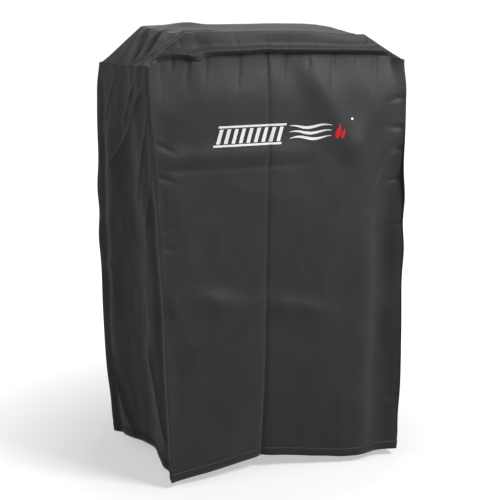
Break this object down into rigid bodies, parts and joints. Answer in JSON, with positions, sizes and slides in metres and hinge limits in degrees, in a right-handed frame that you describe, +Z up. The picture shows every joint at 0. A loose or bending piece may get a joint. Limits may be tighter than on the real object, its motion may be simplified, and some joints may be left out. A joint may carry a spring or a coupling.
{
  "type": "electric cabinet smoker",
  "caption": "Upright electric cabinet smoker with a hinged door, racks and a side controller, standing under its fitted charcoal fabric cover.",
  "frame": {"origin": "on the ground, at the centre of the cover's footprint", "axes": "+Z up, -Y towards the front, where the door is, +X to the right of someone facing the door"},
  "size_m": [0.59, 0.385, 1],
  "materials": {
    "cover_fabric": "woven coated polyester, matt charcoal",
    "cover_trim": "doubled woven hem, matt charcoal",
    "black_enamel": "black baked enamel, satin",
    "stainless": "bright stainless sheet",
    "chrome_wire": "polished",
    "insulation": "pressed mineral wool",
    "black_plastic": "fine texture",
    "rubber": "matt",
    "gauge_face": "printed white",
    "gauge_glass": "clear",
    "needle_red": "red lacquer",
    "lamp_red": "translucent red"
  },
  "bodies": {
    "cabinet": {"outer_casing": "black_enamel", "roof_cap": "black_enamel", "front_rail_top": "black_enamel", "front_rail_bottom": "black_enamel", "front_rail_left": "black_enamel", "front_rail_right": "black_enamel", "inner_liner": "stainless", "insulation_blanket": "insulation", "vent_collar": "stainless", "rack_ladder_left": "chrome_wire", "rack_ladder_right": "chrome_wire", "cooking_grate_1": "chrome_wire", "cooking_grate_2": "chrome_wire", "cooking_grate_3": "chrome_wire", "water_pan": "stainless", "heating_element": "stainless", "burner_bridge": "stainless", "chip_box": "black_enamel", "chip_box_lid": "black_enamel", "control_housing": "black_plastic", "indicator_lamp": "lamp_red", "power_inlet": "black_plastic", "side_handle_left": "black_enamel", "side_handle_right": "black_enamel", "leg_frame": "black_enamel", "foot_left": "rubber", "foot_right": "rubber", "axle_bracket_left": "black_enamel", "axle_bracket_right": "black_enamel", "axle": "stainless", "grease_tray": "stainless", "tray_runner": "black_enamel", "hinge_upper_cabinet_leaf": "stainless", "hinge_lower_cabinet_leaf": "stainless", "hinge_pin_upper": "stainless", "hinge_pin_lower": "stainless", "latch_keeper": "stainless"},
    "cover": {"cover_top_panel": "cover_fabric", "cover_front_panel": "cover_fabric", "cover_back_panel": "cover_fabric", "cover_left_panel": "cover_fabric", "cover_right_panel": "cover_fabric", "cover_hem_binding": "cover_trim"},
    "door": {"door_skin": "black_enamel", "door_liner": "stainless", "door_insulation": "insulation", "door_gasket": "rubber", "gauge_cup": "chrome_wire", "gauge_face": "gauge_face", "gauge_glass": "gauge_glass", "hinge_upper_door_leaf": "stainless", "hinge_lower_door_leaf": "stainless", "latch_base": "black_plastic"},
    "latch": {"latch_handle": "black_plastic"},
    "needle": {"gauge_needle": "needle_red"},
    "damper": {"vent_damper": "black_enamel"},
    "dial": {"control_dial": "black_plastic"},
    "rocker": {"power_rocker": "black_plastic"},
    "left_wheel": {"wheel_left": "rubber"},
    "right_wheel": {"wheel_right": "rubber"}
  },
  "joints": [
    {"name": "cover_lift", "type": "slide", "parent": "cabinet", "child": "cover", "axis": [0, 0, 1], "range_m": [0, 1.02]},
    {"name": "door_swing", "type": "hinge", "parent": "cabinet", "child": "door", "pos_m": [0.214, -0.156, 0.135], "axis": [0, 0, 1], "range_deg": [0, 110], "deforming": ["cover_top_panel", "cover_front_panel", "cover_back_panel", "cover_left_panel", "cover_right_panel", "cover_hem_binding"]},
    {"name": "latch_turn", "type": "hinge", "parent": "door", "child": "latch", "pos_m": [-0.178, -0.158, 0.56], "axis": [0, -1, 0], "range_deg": [0, 90]},
    {"name": "needle_turn", "type": "hinge", "parent": "door", "child": "needle", "pos_m": [0, -0.158, 0.78], "axis": [0, 1, 0], "range_deg": [0, 240], "stiffness_Nm_per_rad": 0.01},
    {"name": "damper_turn", "type": "hinge", "parent": "cabinet", "child": "damper", "pos_m": [-0.081, 0.085, 0.985], "axis": [0, 0, 1], "range_deg": [0, 100]},
    {"name": "dial_turn", "type": "hinge", "parent": "cabinet", "child": "dial", "pos_m": [0.25, 0, 0.245], "axis": [1, 0, 0], "range_deg": [0, 270]},
    {"name": "rocker_tilt", "type": "hinge", "parent": "cabinet", "child": "rocker", "pos_m": [0.247, 0.06, 0.255], "axis": [0, 1, 0], "range_deg": [0, 12]},
    {"name": "wheel_left_spin", "type": "hinge", "parent": "cabinet", "child": "left_wheel", "pos_m": [-0.186, 0.11, 0.05], "axis": [1, 0, 0], "continuous": true},
    {"name": "wheel_right_spin", "type": "hinge", "parent": "cabinet", "child": "right_wheel", "pos_m": [0.186, 0.11, 0.05], "axis": [1, 0, 0], "continuous": true}
  ]
}
